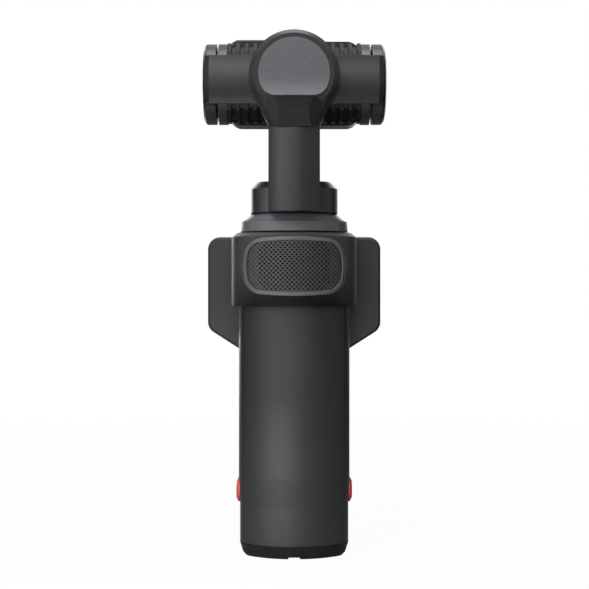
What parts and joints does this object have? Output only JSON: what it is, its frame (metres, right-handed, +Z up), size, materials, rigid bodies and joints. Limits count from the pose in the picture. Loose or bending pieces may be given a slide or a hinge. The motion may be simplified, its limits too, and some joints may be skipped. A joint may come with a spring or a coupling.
{
  "type": "gimbal camera",
  "caption": "Handheld camera on a three-axis stabilising arm, with an upright grip, a clip-on wind guard and a detachable screen with joystick and record button.",
  "frame": {"origin": "mouth of the tripod thread in the base, on the pan axis, where the camera stands", "axes": "+Z up along the grip, +X to the right seen from behind, the lenses and the screen face +Y"},
  "size_m": [0.0574, 0.044, 0.1632],
  "materials": {
    "graphite": "fine-grained moulded plastic",
    "guard_plastic": "warm black moulded plastic",
    "grille": "painted perforated grille",
    "foam": "open-cell foam",
    "release_red": "moulded red plastic",
    "record_red": "moulded red plastic",
    "rubber": "moulded rubber",
    "brass": "turned",
    "steel": "turned and ground",
    "core": "laminated core with windings",
    "board": "printed circuit board",
    "cell": "wrapped cell",
    "black_gloss": "polished",
    "ring_metal": "anodised",
    "lens_glass": "coated glass",
    "cover_glass": "cover glass over a dark display"
  },
  "bodies": {
    "handle": {"grip_back_shell": "graphite", "grip_front_shell": "graphite", "shell_screws": "steel", "battery_sleeve": "graphite", "release_spring_left": "steel", "release_spring_right": "steel", "dock_contacts": "brass", "main_board": "board", "neck_housing": "graphite", "pan_bearings": "steel", "pan_stator": "core"},
    "battery": {"base_cap": "graphite", "tripod_insert": "brass", "usb_socket": "steel", "battery_pack": "cell"},
    "release_left": {"release_button_left": "release_red"},
    "release_right": {"release_button_right": "release_red"},
    "wind_guard": {"guard_sleeve": "guard_plastic", "guard_grille": "grille", "guard_foam": "foam"},
    "screen": {"screen_back_shell": "graphite", "screen_front_shell": "graphite", "screen_glass": "cover_glass", "display_panel": "black_gloss", "screen_cell": "cell", "screen_board": "board", "key_board": "board"},
    "record_key": {"record_button": "record_red"},
    "stick_gimbal": {"stick_ring": "steel"},
    "stick": {"stick_cap": "rubber"},
    "arm": {"pan_rotor": "steel", "pan_shaft": "steel", "pan_arm": "graphite", "roll_bearing": "steel", "roll_stator": "core", "roll_cap": "graphite", "roll_cover": "graphite"},
    "yoke": {"yoke_frame": "graphite", "roll_shaft": "steel", "roll_rotor": "steel", "yoke_cover_left": "graphite", "yoke_cover_right": "graphite", "tilt_bearings": "steel", "tilt_stator": "core"},
    "camera": {"camera_back_shell": "graphite", "camera_front_shell": "graphite", "main_lens_ring": "ring_metal", "main_lens_barrel": "black_gloss", "main_lens_glass": "lens_glass", "tele_lens_ring": "ring_metal", "tele_lens_barrel": "black_gloss", "tele_lens_glass": "lens_glass", "sensor_board": "board", "tilt_hub_left": "graphite", "tilt_hub_right": "graphite", "tilt_rotor": "steel"}
  },
  "joints": [
    {"name": "pan", "type": "hinge", "parent": "handle", "child": "arm", "pos_m": [0, 0, 0.107], "axis": [0, 0, 1], "range_deg": [-55, 235]},
    {"name": "roll", "type": "hinge", "parent": "arm", "child": "yoke", "pos_m": [0, -0.019, 0.14865], "axis": [0, 1, 0], "range_deg": [-45, 45]},
    {"name": "tilt", "type": "hinge", "parent": "yoke", "child": "camera", "pos_m": [0, 0, 0.14865], "axis": [1, 0, 0], "range_deg": [-90, 70]},
    {"name": "battery_slide", "type": "slide", "parent": "handle", "child": "battery", "axis": [0, 0, -1], "range_m": [0, 0.062]},
    {"name": "release_left_press", "type": "slide", "parent": "handle", "child": "release_left", "axis": [1, 0, 0], "range_m": [0, 0.001], "stiffness_N_per_m": 800, "springref_m": -0.0005, "deforming": ["release_spring_left"]},
    {"name": "release_right_press", "type": "slide", "parent": "handle", "child": "release_right", "axis": [-1, 0, 0], "range_m": [0, 0.001], "stiffness_N_per_m": 800, "springref_m": -0.0005, "deforming": ["release_spring_right"]},
    {"name": "wind_guard_pull", "type": "slide", "parent": "handle", "child": "wind_guard", "axis": [0, -1, 0], "range_m": [0, 0.03]},
    {"name": "screen_pull", "type": "slide", "parent": "handle", "child": "screen", "axis": [0, 1, 0], "range_m": [0, 0.03]},
    {"name": "record_press", "type": "slide", "parent": "screen", "child": "record_key", "axis": [0, -1, 0], "range_m": [0, 0.0006], "stiffness_N_per_m": 900, "springref_m": -0.0003},
    {"name": "stick_up_down", "type": "hinge", "parent": "screen", "child": "stick_gimbal", "pos_m": [0, 0.0151, 0.054], "axis": [1, 0, 0], "range_deg": [-8, 8], "stiffness_Nm_per_rad": 0.02},
    {"name": "stick_left_right", "type": "hinge", "parent": "stick_gimbal", "child": "stick", "pos_m": [0, 0.0151, 0.054], "axis": [0, 0, 1], "range_deg": [-8, 8], "stiffness_Nm_per_rad": 0.02}
  ]
}
